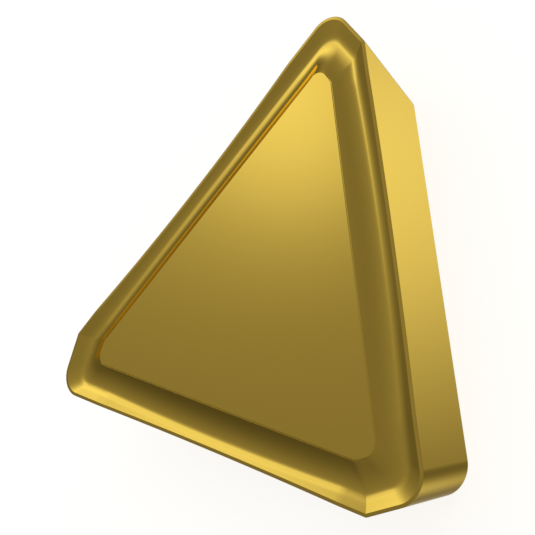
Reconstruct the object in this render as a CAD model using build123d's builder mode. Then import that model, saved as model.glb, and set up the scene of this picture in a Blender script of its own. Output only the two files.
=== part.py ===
from build123d import *
import os
from math import cos, radians, sin, sqrt, tan

# Triangular milling insert: one solid body of coated cemented carbide, in millimetres.
# The seat face lies on Z = 0 with the centre of the inscribed circle at the origin, and the rake face is on top.
# The outline makes three equal turns of a main cutting edge, a nose, a short wiper facet square to that edge,
# and a blunt corner to the next main edge.

# blank
inscribed_circle = 9.525
thickness = 3.18
facet_length = 1.9
nose_radius = 0.8
blunt_corner_radius = 0.12
main_clearance = 11
facet_clearance = 15
edge_count = 3
nose_turn = 90

# cutting edge: a flat land that sags along an arc in the middle of each main edge
land_width = 0.1
sag_depth = 0.14
sag_blend_radius = 2
sag_margin = 0.15

# island in the middle of the rake face
island_rise = 0.094
island_facet_length = 0.7
island_nose_radius = 0.35
island_blunt_radius = 0.48

# chip groove between the land and the island: a round on each side of a narrow flat
groove_width = 1.14
groove_radius = 0.97
groove_flat = 0.02

third = -360 / edge_count
blunt_turn = -third - nose_turn


def facet_place(inscribed_radius, length):
    """Distance from the axis to the facet of an outline whose facet, with its corners sharp, has this length."""
    reach = inscribed_radius + (inscribed_radius - length) * sin(radians(blunt_turn))
    return reach / cos(radians(blunt_turn))


edge_radius = inscribed_circle / 2
facet_distance = facet_place(edge_radius, facet_length)
island_radius = edge_radius - land_width - groove_width
island_facet_distance = facet_place(island_radius, island_facet_length)
island_top = thickness + island_rise
headroom = 2 * groove_radius
blank_reach = 2 * facet_distance


def round_centre(drop):
    """Distance from the axis and height of the outer round's centre where the land has dropped by this much."""
    land_edge = Vector(edge_radius - land_width - drop * tan(radians(main_clearance)), thickness - drop)
    border = Vector(island_radius + groove_flat, island_top)
    chord = land_edge - border
    rise = sqrt(groove_radius**2 - (chord.length / 2) ** 2)
    return (land_edge + border) / 2 + Vector(-chord.Y, chord.X).normalized() * rise


def blunt_distance(inscribed_radius, facet):
    """How far along a main edge from its middle the sharp blunt corner of an outline lies."""
    return (facet - inscribed_radius * cos(radians(blunt_turn))) / sin(radians(blunt_turn))


def next_edge(x, y):
    """The point of the next main edge, a third of a turn clockwise, that matches this one."""
    point = Vector(x, y).rotate(Axis.Z, third)
    return (point.X, point.Y)


# The rest is worked out for the main edge on the -Y side, whose nose is towards -X, and turned for the other two.
# Each round of the groove has its centre on a track above it.
track = round_centre(0)
lowest_track = round_centre(sag_depth)
track_height = track.Y
track_inset = edge_radius - track.X
island_offset = track.X - groove_flat - island_radius
outer_facet = facet_distance - track_inset
inner_facet = island_facet_distance + island_offset
outer_bend = nose_radius - track_inset
inner_bend = island_nose_radius + island_offset
blunt_bend = island_blunt_radius + island_offset
inner_reach = island_offset + island_nose_radius / 2

nose_x = nose_radius - facet_distance
nose_y = nose_radius - edge_radius
island_nose_x = island_nose_radius - island_facet_distance
island_nose_y = island_nose_radius - island_radius
island_blunt_x = blunt_distance(island_radius - island_blunt_radius, island_facet_distance - island_blunt_radius)
island_facet_end = next_edge(island_blunt_x, island_blunt_radius - island_radius)[1]
sag_end = island_blunt_x - sag_margin
joint = island_blunt_x - sag_margin / 2

outer_y = -track.X
inner_y = groove_flat - track.X
blunt_corner = next_edge(blunt_distance(track.X, outer_facet), outer_y)
outer_end = next_edge(joint, outer_y)
inner_end = next_edge(joint, inner_y)


def draw_groove(first, last):
    """Adds the groove's section to the sketch, between these distances outward of the outer round's centre."""
    with Locations((-groove_flat / 2, 0)):
        SlotCenterToCenter(groove_flat, 2 * groove_radius)
    with Locations((first, 0)):
        Rectangle(last - first, 2 * groove_radius, align=(Align.MIN, Align.CENTER), mode=Mode.INTERSECT)


def draw_outer_track(last):
    """Adds the outer track to the line being drawn, round the nose and along the facet to the last point."""
    Line((-joint, outer_y), (nose_x, outer_y))
    JernArc((nose_x, outer_y), (-1, 0), outer_bend, -nose_turn)
    Line((-outer_facet, nose_y), last)


def draw_inner_track():
    """Adds the inner track to the line being drawn, round the island's nose, facet and blunt corner."""
    Line((-joint, inner_y), (island_nose_x, inner_y))
    JernArc((island_nose_x, inner_y), (-1, 0), inner_bend, -nose_turn)
    Line((-inner_facet, island_nose_y), (-inner_facet, island_facet_end))
    blunt_arc = JernArc((-inner_facet, island_facet_end), (0, 1), blunt_bend, -blunt_turn)
    Line(blunt_arc @ 1, inner_end)


with BuildPart() as sag:
    with BuildSketch(Plane((0, -blank_reach, thickness), x_dir=(-1, 0, 0), z_dir=(0, 1, 0))) as side_view:
        with BuildLine():
            ThreePointArc((sag_end, 0), (0, -sag_depth), (-sag_end, 0))
            Polyline(
                (-sag_end, 0),
                (-blank_reach, 0),
                (-blank_reach, headroom),
                (blank_reach, headroom),
                (blank_reach, 0),
                (sag_end, 0),
            )
        make_face()
        fillet(side_view.vertices().filter_by_position(Axis.X, -joint, joint), sag_blend_radius)
    extrude(amount=blank_reach - track.X)

with BuildPart() as main_groove:
    lowering = Vector(0, track.X - lowest_track.X, lowest_track.Y - track.Y)
    track_plane = Plane((0, outer_y, track_height), x_dir=(-1, 0, 0), z_dir=Vector(-1, 0, 0).cross(lowering))
    with BuildLine(track_plane) as main_track:
        Line((-joint, 0), (-sag_end, 0))
        ThreePointArc((-sag_end, 0), (0, lowering.length), (sag_end, 0))
        Line((sag_end, 0), (joint, 0))
        bends = main_track.vertices().sort_by_distance(track_plane.origin)[:2]
        fillet(bends, sag_blend_radius)
    with BuildSketch(Plane((joint, outer_y, track_height), x_dir=(0, -1, 0), z_dir=(-1, 0, 0))):
        draw_groove(-groove_radius - groove_flat, groove_radius)
    sweep()

# The outer round is mitred at the blunt corner.
blunt_point = Vector(*blunt_corner, track_height)
mitre = Plane(blunt_point, z_dir=Vector(0, 1, 0).rotate(Axis.Z, -blunt_turn / 2))

with BuildPart() as nose_groove:
    with BuildLine(Plane.XY.offset(track_height)):
        draw_outer_track((-outer_facet, 0))
    with BuildSketch(Plane((-joint, outer_y, track_height), x_dir=(0, -1, 0), z_dir=(-1, 0, 0))):
        draw_groove(-groove_flat, groove_radius)
    sweep()
    split(bisect_by=mitre, keep=Keep.BOTTOM)

with BuildPart() as blunt_groove:
    with BuildSketch(Plane((*outer_end, track_height), x_dir=next_edge(0, -1), z_dir=next_edge(-1, 0))):
        draw_groove(-groove_flat, groove_radius)
    extrude(amount=-track.X)
    split(bisect_by=mitre, keep=Keep.TOP)

with BuildPart() as inner_groove:
    with BuildLine(Plane.XY.offset(track_height)):
        draw_inner_track()
    with BuildSketch(Plane((-joint, outer_y, track_height), x_dir=(0, -1, 0), z_dir=(-1, 0, 0))):
        draw_groove(-groove_flat - inner_reach, 0)
    sweep()

with BuildPart() as groove_floor:
    with BuildSketch(Plane.XY.offset(track_height - groove_radius)):
        with BuildLine():
            draw_outer_track(blunt_corner)
            Polyline(blunt_corner, outer_end, inner_end)
            draw_inner_track()
            Line((-joint, inner_y), (-joint, outer_y))
        make_face()
    extrude(amount=headroom)

with BuildPart() as insert:
    Cylinder(blank_reach, island_top, align=(Align.CENTER, Align.CENTER, Align.MIN))
    main_angle = radians(main_clearance)
    facet_angle = radians(facet_clearance)
    main_flank = Plane((0, -edge_radius, thickness), z_dir=(0, -cos(main_angle), -sin(main_angle)))
    facet_flank = Plane((-facet_distance, 0, thickness), z_dir=(-cos(facet_angle), 0, -sin(facet_angle)))
    with PolarLocations(0, edge_count):
        with Locations(main_flank, facet_flank):
            Box(
                3 * blank_reach,
                3 * blank_reach,
                blank_reach,
                align=(Align.CENTER, Align.CENTER, Align.MIN),
                mode=Mode.SUBTRACT,
            )
    slanted = insert.edges().filter_by(Plane.XY, reverse=True).sort_by_distance((0, 0, 0))
    fillet(slanted[:edge_count], blunt_corner_radius)
    slanted = insert.edges().filter_by(Plane.XY, reverse=True).sort_by_distance((0, 0, 0))
    fillet(slanted[-edge_count:], nose_radius)

    with BuildSketch(Plane.XY.offset(thickness)) as rim:
        Circle(blank_reach)
        with BuildSketch(mode=Mode.SUBTRACT):
            corners = []
            for spin in range(edge_count):
                for corner in ((blunt_distance(track.X, outer_facet), outer_y), (-outer_facet, outer_y)):
                    corners.append(Vector(*corner).rotate(Axis.Z, spin * third))
            Polygon(*corners, align=None)
    extrude(amount=headroom, mode=Mode.SUBTRACT)
    with PolarLocations(0, edge_count):
        add(sag.part, mode=Mode.SUBTRACT)
        add(main_groove.part, mode=Mode.SUBTRACT)
        add(nose_groove.part, mode=Mode.SUBTRACT)
        add(blunt_groove.part, mode=Mode.SUBTRACT)
        add(inner_groove.part, mode=Mode.SUBTRACT)
        add(groove_floor.part, mode=Mode.SUBTRACT)

insert.part.label = "insert"
os.makedirs("parts", exist_ok=True)
export_step(insert.part, "parts/insert.step")
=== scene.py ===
import math

import bmesh
import bpy
from mathutils import Matrix, Vector


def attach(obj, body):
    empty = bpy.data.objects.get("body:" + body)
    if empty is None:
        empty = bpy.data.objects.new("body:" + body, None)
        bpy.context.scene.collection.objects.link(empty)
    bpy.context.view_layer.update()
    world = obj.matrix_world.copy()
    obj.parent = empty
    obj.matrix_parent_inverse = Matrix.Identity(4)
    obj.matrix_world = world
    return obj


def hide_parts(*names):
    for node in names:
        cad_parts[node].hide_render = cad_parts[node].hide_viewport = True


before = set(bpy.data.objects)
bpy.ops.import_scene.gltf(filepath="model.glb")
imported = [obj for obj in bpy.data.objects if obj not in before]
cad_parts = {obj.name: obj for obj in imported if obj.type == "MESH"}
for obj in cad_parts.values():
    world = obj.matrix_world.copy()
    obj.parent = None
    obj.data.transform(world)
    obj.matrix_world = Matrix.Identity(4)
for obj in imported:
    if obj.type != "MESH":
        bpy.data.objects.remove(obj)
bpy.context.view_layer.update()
print("frame loaded")

mm = 0.001


def srgb(code):
    # hex colour as shown on screen -> linear values for the shader
    channels = [int(code[i:i + 2], 16) / 255 for i in (1, 3, 5)]
    return [c / 12.92 if c <= 0.04045 else ((c + 0.055) / 1.055) ** 2.4 for c in channels] + [1]


def addNode(tree, kind, settings=None, inputs=None, links=None):
    # one shader node: its settings, its fixed inputs and what feeds its other inputs
    node = tree.nodes.new(kind)
    for key, value in (settings or {}).items():
        setattr(node, key, value)
    for key, value in (inputs or {}).items():
        node.inputs[key].default_value = value
    for key, source in (links or {}).items():
        tree.links.new(source, node.inputs[key])
    return node


def newMaterial(name):
    material = bpy.data.materials.new(name)
    material.use_nodes = True
    material.node_tree.nodes.clear()
    return material, material.node_tree


# the insert, all lengths in millimetres, on its seat face with one main edge along -Y
insertSizes = {
    "edgeRadius": 4.7625,  # centre to main cutting edge
    "facetDistance": 7.1519,  # centre to wiper facet
    "thickness": 3.18,
    "noseRadius": 0.8,
    "bluntRadius": 0.12,  # corner between facet and the next main edge
    "mainClearance": math.radians(11),
    "facetClearance": math.radians(15),
    "landWidth": 0.1,
    "landTilt": math.radians(8),  # the land falls towards the cutting edge
    "sagDepth": 0.14,
    "sagHalf": 5.02,  # half the length of the dip in a main edge
    "sagBlend": 0.0025,  # softens both ends of the dip
    "islandTop": 3.274,
    "islandRadius": 3.5225,  # centre to the island's long sides
    "islandFacet": 5.6969,  # centre to its ends
    "islandNose": 0.35,
    "islandBlunt": 0.48,
    "grooveBottom": 3.044,
    "bottomInset": 0.595,  # main cutting edge to the lowest line of the groove
    "bottomShare": 0.434,  # the same as a share of the way from land to island
    "bottomSink": 0.59,  # how far the lowest line follows the dip down
    "bottomShift": 0.62,  # and how far it moves outward with it
    "outerRound": 0.3,  # width of the rounded foot of each groove wall, the rest is straight
    "innerRound": 0.65,
    "borderStep": 0.02,  # short steep step up to the island
    "borderRound": 0.03,
    "hone": 0.018,  # rounding of the cutting edge
    "seatChamfer": 0.04,
    "edgeSteps": 72,
    "noseSteps": 18,
    "bluntSteps": 12,
    "facetSteps": 6,
    "wallSteps": 12,
    "roundSteps": 3,
    "joinPlaces": 4,  # points that agree to this many decimals become one
}
s = insertSizes


def direction(angle):
    return Vector((math.cos(angle), math.sin(angle)))


def lift(point, height):
    return Vector((point.x, point.y, height))


def bluntDistance(radius, facet):
    # middle of a main edge to its sharp blunt corner
    return (facet - radius * math.cos(math.pi / 6)) / math.sin(math.pi / 6)


def sag(x):
    # how far the cutting edge dips x away from the middle of a main edge
    dip = s["sagDepth"] * (1 - (x / s["sagHalf"]) ** 2)
    return (dip + math.sqrt(dip * dip + s["sagBlend"] ** 2)) / 2


def roundedEdge(before, corner, after):
    # quadratic curve that takes the sharpness off a corner
    points = []
    for k in range(s["roundSteps"] + 1):
        t = k / s["roundSteps"]
        points.append(before * (1 - t) ** 2 + corner * 2 * t * (1 - t) + after * t * t)
    return points


def wall(bottom, top, foot):
    # groove wall from its lowest point to its top: a rounded foot, then straight
    curved = min(1, foot / (top - bottom).xy.length)
    points = []
    for k in range(1, s["wallSteps"] + 1):
        t = k / s["wallSteps"]
        rise = t * t / (2 * curved) if t < curved else t - curved / 2
        point = bottom.lerp(top, t)
        point.z = bottom.z + (top.z - bottom.z) * rise / (1 - curved / 2)
        points.append(point)
    return points


def section(edge, normal, seat, land, bottom, border, drop=0):
    # one row of points: seat, flank, cutting edge, land, groove and the top of the island
    landTop = s["thickness"] - drop
    tip = landTop - s["landWidth"] * math.tan(s["landTilt"])
    inward = lift(-normal, 0)
    edge = lift(edge, tip)
    seat = lift(seat, 0)
    up = (edge - seat).normalized()
    land = lift(land, landTop)
    bottom = lift(bottom, s["grooveBottom"] - drop * s["bottomSink"])
    border = lift(border, s["islandTop"])
    landward = (land - edge).normalized()
    ring = [seat + inward * s["seatChamfer"], seat + up * s["seatChamfer"]]
    ring += roundedEdge(edge - up * s["hone"], edge, edge + landward * s["hone"])
    ring += [land] + wall(bottom, land, s["outerRound"])[-2::-1] + [bottom]
    stepFoot = border - Vector((0, 0, s["borderStep"]))
    outward = lift((bottom - border).xy.normalized(), 0)
    ring += wall(bottom, stepFoot + outward * s["borderStep"] / 2, s["innerRound"])
    below = border - Vector((0, 0, s["borderRound"]))
    ring += roundedEdge(below, border, border - outward * s["borderRound"])
    return ring


# rows of a section that stay sharp: seat, flank, land and the foot and top of the step to the island
landRow = s["roundSteps"] + 3
stepRow = landRow + 2 * s["wallSteps"]
sharpRows = (0, 1, landRow, stepRow, stepRow + s["roundSteps"] + 1)
down = -math.pi / 2  # outward direction of the main edge on -Y
thirdTurn = 2 * math.pi / 3
clockwise = Matrix.Rotation(-thirdTurn, 2)


def outline(height):
    # nose centre, blunt round centre and main edge distance of the flank's outline at this height
    drop = s["thickness"] - height
    radius = s["edgeRadius"] - drop * math.tan(s["mainClearance"])
    facet = s["facetDistance"] - drop * math.tan(s["facetClearance"])
    nose = Vector((s["noseRadius"] - facet, s["noseRadius"] - radius))
    bluntX = bluntDistance(radius - s["bluntRadius"], facet - s["bluntRadius"])
    blunt = Vector((bluntX, s["bluntRadius"] - radius))
    return nose, blunt, radius


def buildThird():
    # sections for the main edge on -Y, its nose, its facet and the blunt corner after it
    rings = []
    nose, blunt, radius = outline(s["thickness"])
    seatNose, seatBlunt, seatRadius = outline(0)
    land = s["landWidth"]
    inset = s["bottomInset"]
    islandNose = Vector((s["islandNose"] - s["islandFacet"], s["islandNose"] - s["islandRadius"]))
    islandBluntX = bluntDistance(s["islandRadius"] - s["islandBlunt"], s["islandFacet"] - s["islandBlunt"])
    islandBlunt = Vector((islandBluntX, s["islandBlunt"] - s["islandRadius"]))

    # main edge
    for k in range(s["edgeSteps"] + 1):
        x = islandBlunt.x + (islandNose.x - islandBlunt.x) * k / s["edgeSteps"]
        drop = sag(x)
        back = drop * math.tan(s["mainClearance"])
        share = (blunt.x - x) / (blunt.x - nose.x)
        seat = Vector((seatBlunt.x + (seatNose.x - seatBlunt.x) * share, -seatRadius))
        edge = Vector((x, back - radius))
        landPoint = Vector((x, back + land - radius))
        bottom = Vector((x, inset - radius - drop * s["bottomShift"]))
        border = Vector((x, -s["islandRadius"]))
        rings.append(section(edge, direction(down), seat, landPoint, bottom, border, drop))

    # nose
    for k in range(s["noseSteps"] + 1):
        n = direction(down - math.pi / 2 * k / s["noseSteps"])
        edge, seat = nose + n * s["noseRadius"], seatNose + n * s["noseRadius"]
        landPoint = nose + n * (s["noseRadius"] - land)
        border = islandNose + n * s["islandNose"]
        rings.append(section(edge, n, seat, landPoint, landPoint.lerp(border, s["bottomShare"]), border))

    # facet, up to the mitre at the blunt corner
    left = direction(-math.pi)
    turnedBlunt, turnedSeat, turnedIsland = clockwise @ blunt, clockwise @ seatBlunt, clockwise @ islandBlunt
    landFacet = s["facetDistance"] - land
    landCorner = clockwise @ Vector((bluntDistance(radius - land, landFacet), land - radius))
    bottomFacet = landFacet - (landFacet - s["islandFacet"]) * s["bottomShare"]
    bottomCorner = clockwise @ Vector((bluntDistance(radius - inset, bottomFacet), inset - radius))
    last = [nose + left * s["noseRadius"], seatNose + left * s["noseRadius"],
            nose + left * (s["noseRadius"] - land), islandNose + left * s["islandNose"]]
    ends = [turnedBlunt + left * s["bluntRadius"], turnedSeat + left * s["bluntRadius"], landCorner,
            turnedIsland + left * s["islandBlunt"]]
    firstBottom = last[2].lerp(last[3], s["bottomShare"])
    for k in range(1, s["facetSteps"]):
        t = k / s["facetSteps"]
        edge, seat, landPoint, border = [a.lerp(b, t) for a, b in zip(last, ends)]
        rings.append(section(edge, left, seat, landPoint, firstBottom.lerp(bottomCorner, t), border))

    # blunt corner: the outer wall is mitred, the island is round
    for k in range(s["bluntSteps"] + 1):
        n = direction(-math.pi - math.pi / 6 * k / s["bluntSteps"])
        edge, seat = turnedBlunt + n * s["bluntRadius"], turnedSeat + n * s["bluntRadius"]
        rings.append(section(edge, n, seat, landCorner, bottomCorner, turnedIsland + n * s["islandBlunt"]))
    return rings


def shareVertex(bm, known, point):
    # one vertex for each place, so neighbouring sections join
    key = tuple(round(c, s["joinPlaces"]) for c in point)
    if key not in known:
        known[key] = bm.verts.new(point * mm)
    return known[key]


def addFace(bm, corners):
    corners = list(dict.fromkeys(corners))
    if len(corners) > 2:
        bm.faces.new(corners)


def cornerNormals(bm):
    # the widest face sets the normal at each corner, so flat faces shade flat right up to their rounds
    normals = {}
    for vert in bm.verts:
        left = set(vert.link_faces)
        while left:
            fan = [left.pop()]
            for face in fan:
                for edge in face.edges:
                    if edge.smooth and vert in edge.verts:
                        for other in left.intersection(edge.link_faces):
                            left.discard(other)
                            fan.append(other)
            normal = sum((face.normal * (face.calc_area() / mm ** 2) for face in fan), Vector()).normalized()
            for face in fan:
                normals[face, vert] = normal
    return [normals[face, loop.vert] for face in bm.faces for loop in face.loops]


def buildInsert():
    third = buildThird()
    bm = bmesh.new()
    known = {}
    rings = []
    for spin in range(3):
        turn = Matrix.Rotation(-thirdTurn * spin, 3, "Z")
        for ring in third:
            rings.append([shareVertex(bm, known, turn @ p) for p in ring])
    for a, b in zip(rings, rings[1:] + rings[:1]):
        for i in range(len(a) - 1):
            addFace(bm, (a[i], b[i], b[i + 1], a[i + 1]))
    addFace(bm, [ring[-1] for ring in rings])
    addFace(bm, [ring[0] for ring in reversed(rings)])
    bmesh.ops.recalc_face_normals(bm, faces=bm.faces)
    bm.normal_update()
    creases = [(a[row], b[row]) for a, b in zip(rings, rings[1:] + rings[:1]) for row in sharpRows]
    for spin in range(1, 4):
        mitre = rings[len(third) * spin - 1][landRow:landRow + s["wallSteps"] + 1]
        creases += zip(mitre, mitre[1:])
    for a, b in creases:
        if a is not b:
            bm.edges.get((a, b)).smooth = False
    for face in bm.faces:
        face.smooth = True
    mesh = bpy.data.meshes.new("insertBody")
    normals = cornerNormals(bm)
    bm.to_mesh(mesh)
    mesh.normals_split_custom_set(normals)
    bm.free()
    body = bpy.data.objects.new("insertBody", mesh)
    bpy.context.collection.objects.link(body)
    return body


body = buildInsert()
print("insert built", len(body.data.polygons), "faces")


# titanium nitride, vapour deposited on ground and sintered carbide:
# a warm gold metal with slightly soft reflections
coatingLook = {
    "gold": "#efce5b",  # titanium nitride seen straight on
    "glancing": "#fbf2cb",  # keeps the gold from paling where it is seen edge on
    "roughness": 0.08,
    "grain": 0.03,  # mm, the carbide's grain under the coating, drawn coarser than it is so that it shows
    "grainDetail": 2,
    "grainHeight": 0.0003,  # mm
    "grainDepth": 0.35,
}


def coatedCarbide():
    material, tree = newMaterial("titanium nitride coated cemented carbide")
    position = addNode(tree, "ShaderNodeTexCoord").outputs["Object"]
    grain = addNode(tree, "ShaderNodeTexNoise", {},
                    {"Scale": 1 / (coatingLook["grain"] * mm), "Detail": coatingLook["grainDetail"]},
                    {"Vector": position})
    bump = addNode(tree, "ShaderNodeBump", {},
                   {"Strength": coatingLook["grainDepth"], "Distance": coatingLook["grainHeight"] * mm},
                   {"Height": grain.outputs["Fac"]})
    shader = addNode(tree, "ShaderNodeBsdfPrincipled", {},
                     {"Base Color": srgb(coatingLook["gold"]), "Metallic": 1,
                      "Roughness": coatingLook["roughness"], "Specular Tint": srgb(coatingLook["glancing"])},
                     {"Normal": bump.outputs["Normal"]})
    addNode(tree, "ShaderNodeOutputMaterial", {}, {}, {"Surface": shader.outputs["BSDF"]})
    return material


body.data.materials.append(coatedCarbide())
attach(body, "root")
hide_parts("insert")
print("coating done")


# smooth white paper: matt, pale and without any gloss of its own
stageLook = {
    "floorHalf": 250,  # mm
    "floorWhite": 0.9,
    "cameraFill": 0.8,  # light added where only the camera sees it
}


def buildFloor():
    half = stageLook["floorHalf"] * mm
    mesh = bpy.data.meshes.new("floor")
    mesh.from_pydata([(-half, -half, 0), (half, -half, 0), (half, half, 0), (-half, half, 0)], [], [(0, 1, 2, 3)])
    floor = bpy.data.objects.new("floor", mesh)
    bpy.context.collection.objects.link(floor)
    material, tree = newMaterial("white paper sweep")
    path = addNode(tree, "ShaderNodeLightPath")
    paper = addNode(tree, "ShaderNodeBsdfDiffuse", {}, {"Color": (stageLook["floorWhite"],) * 3 + (1,)})
    # the camera sees the paper white, and it still keeps the shadow of the insert
    fill = addNode(tree, "ShaderNodeMath", {"operation": "MULTIPLY"}, {1: stageLook["cameraFill"]},
                   {0: path.outputs["Is Camera Ray"]})
    glow = addNode(tree, "ShaderNodeEmission", {}, {"Color": (1, 1, 1, 1)}, {"Strength": fill.outputs[0]})
    both = addNode(tree, "ShaderNodeAddShader", {}, {}, {0: paper.outputs["BSDF"], 1: glow.outputs["Emission"]})
    addNode(tree, "ShaderNodeOutputMaterial", {}, {}, {"Surface": both.outputs["Shader"]})
    floor.data.materials.append(material)
    floor.visible_glossy = False  # the gold mirrors the lamps only


buildFloor()

studioLight = {
    "base": 0.343,
    "darkest": 0.01,
    "dim": 0.2,  # the room turns from warm to neutral between these two levels
    "bright": 0.8,
    "warm": (1, 0.93, 0.85, 1),
    "neutral": (1, 0.98, 0.95, 1),
    # azimuth and elevation in degrees, tightness, strength; below zero is a darker side of the room
    "lamps": [
        (167.6, 44.1, 311.7, 0.387),
        (98.8, -60.3, 53.9, 0.895),
        (75.0, 11.4, 21.3, 1.141),
        (162.2, 32.5, 3.6, 0.255),
        (175.4, -19.6, 0.7, -0.400),
        (188.9, -39.6, 9.6, 0.683),
        (295.8, -71.8, 34.4, 1.026),
        (158.2, 36.1, 59.3, 0.869),
    ],
}


def buildWorld():
    world = bpy.data.worlds.new("studio")
    bpy.context.scene.world = world
    world.use_nodes = True
    tree = world.node_tree
    tree.nodes.clear()
    facing = addNode(tree, "ShaderNodeTexCoord").outputs["Generated"]
    total = None
    for azimuth, elevation, tightness, strength in studioLight["lamps"]:
        around, up = math.radians(azimuth), math.radians(elevation)
        lamp = Vector((math.cos(around) * math.cos(up), math.sin(around) * math.cos(up), math.sin(up)))
        along = addNode(tree, "ShaderNodeVectorMath", {"operation": "DOT_PRODUCT"}, {1: lamp}, {0: facing})
        # falls away smoothly from the middle of the lamp
        spread = addNode(tree, "ShaderNodeMath", {"operation": "MULTIPLY_ADD"}, {1: tightness, 2: -tightness},
                         {0: along.outputs["Value"]})
        glow = addNode(tree, "ShaderNodeMath", {"operation": "EXPONENT"}, {}, {0: spread.outputs[0]})
        added = addNode(tree, "ShaderNodeMath", {"operation": "MULTIPLY_ADD"},
                        {1: strength, 2: studioLight["base"]}, {0: glow.outputs[0]})
        if total:
            tree.links.new(total.outputs[0], added.inputs[2])
        total = added
    lit = addNode(tree, "ShaderNodeMath", {"operation": "MAXIMUM"}, {1: studioLight["darkest"]},
                  {0: total.outputs[0]})
    # the dim parts of the room are warmer than the lamps
    warmth = addNode(tree, "ShaderNodeMapRange", {},
                     {"From Min": studioLight["dim"], "From Max": studioLight["bright"]},
                     {"Value": lit.outputs[0]})
    tone = addNode(tree, "ShaderNodeMix", {"data_type": "RGBA"},
                   {6: studioLight["warm"], 7: studioLight["neutral"]}, {0: warmth.outputs["Result"]})
    room = addNode(tree, "ShaderNodeBackground", {}, {}, {"Color": tone.outputs[2], "Strength": lit.outputs[0]})
    # only the camera sees the plain white background
    white = addNode(tree, "ShaderNodeBackground", {}, {"Color": (1, 1, 1, 1), "Strength": 1})
    path = addNode(tree, "ShaderNodeLightPath")
    background = addNode(tree, "ShaderNodeMixShader", {}, {}, {"Fac": path.outputs["Is Camera Ray"]})
    tree.links.new(room.outputs["Background"], background.inputs[1])
    tree.links.new(white.outputs["Background"], background.inputs[2])
    addNode(tree, "ShaderNodeOutputWorld", {}, {}, {"Surface": background.outputs["Shader"]})


buildWorld()

cameraView = {
    "place": (26.5500, -1.1506, 30.0628),  # mm
    "turn": (18.8364, 41.1818, 23.3323),  # degrees
    "sensor": 36,  # sensor and lens in the camera's own mm
    "lens": 89.21,
    "nearest": 1,  # mm
    "farthest": 2000,
}

camera = bpy.data.objects.new("camera", bpy.data.cameras.new("camera"))
bpy.context.collection.objects.link(camera)
camera.location = [c * mm for c in cameraView["place"]]
camera.rotation_euler = [math.radians(a) for a in cameraView["turn"]]
camera.data.sensor_width = cameraView["sensor"]
camera.data.lens = cameraView["lens"]
camera.data.clip_start = cameraView["nearest"] * mm
camera.data.clip_end = cameraView["farthest"] * mm
bpy.context.scene.camera = camera
bpy.context.scene.view_settings.view_transform = "Standard"
print("stage and camera done")
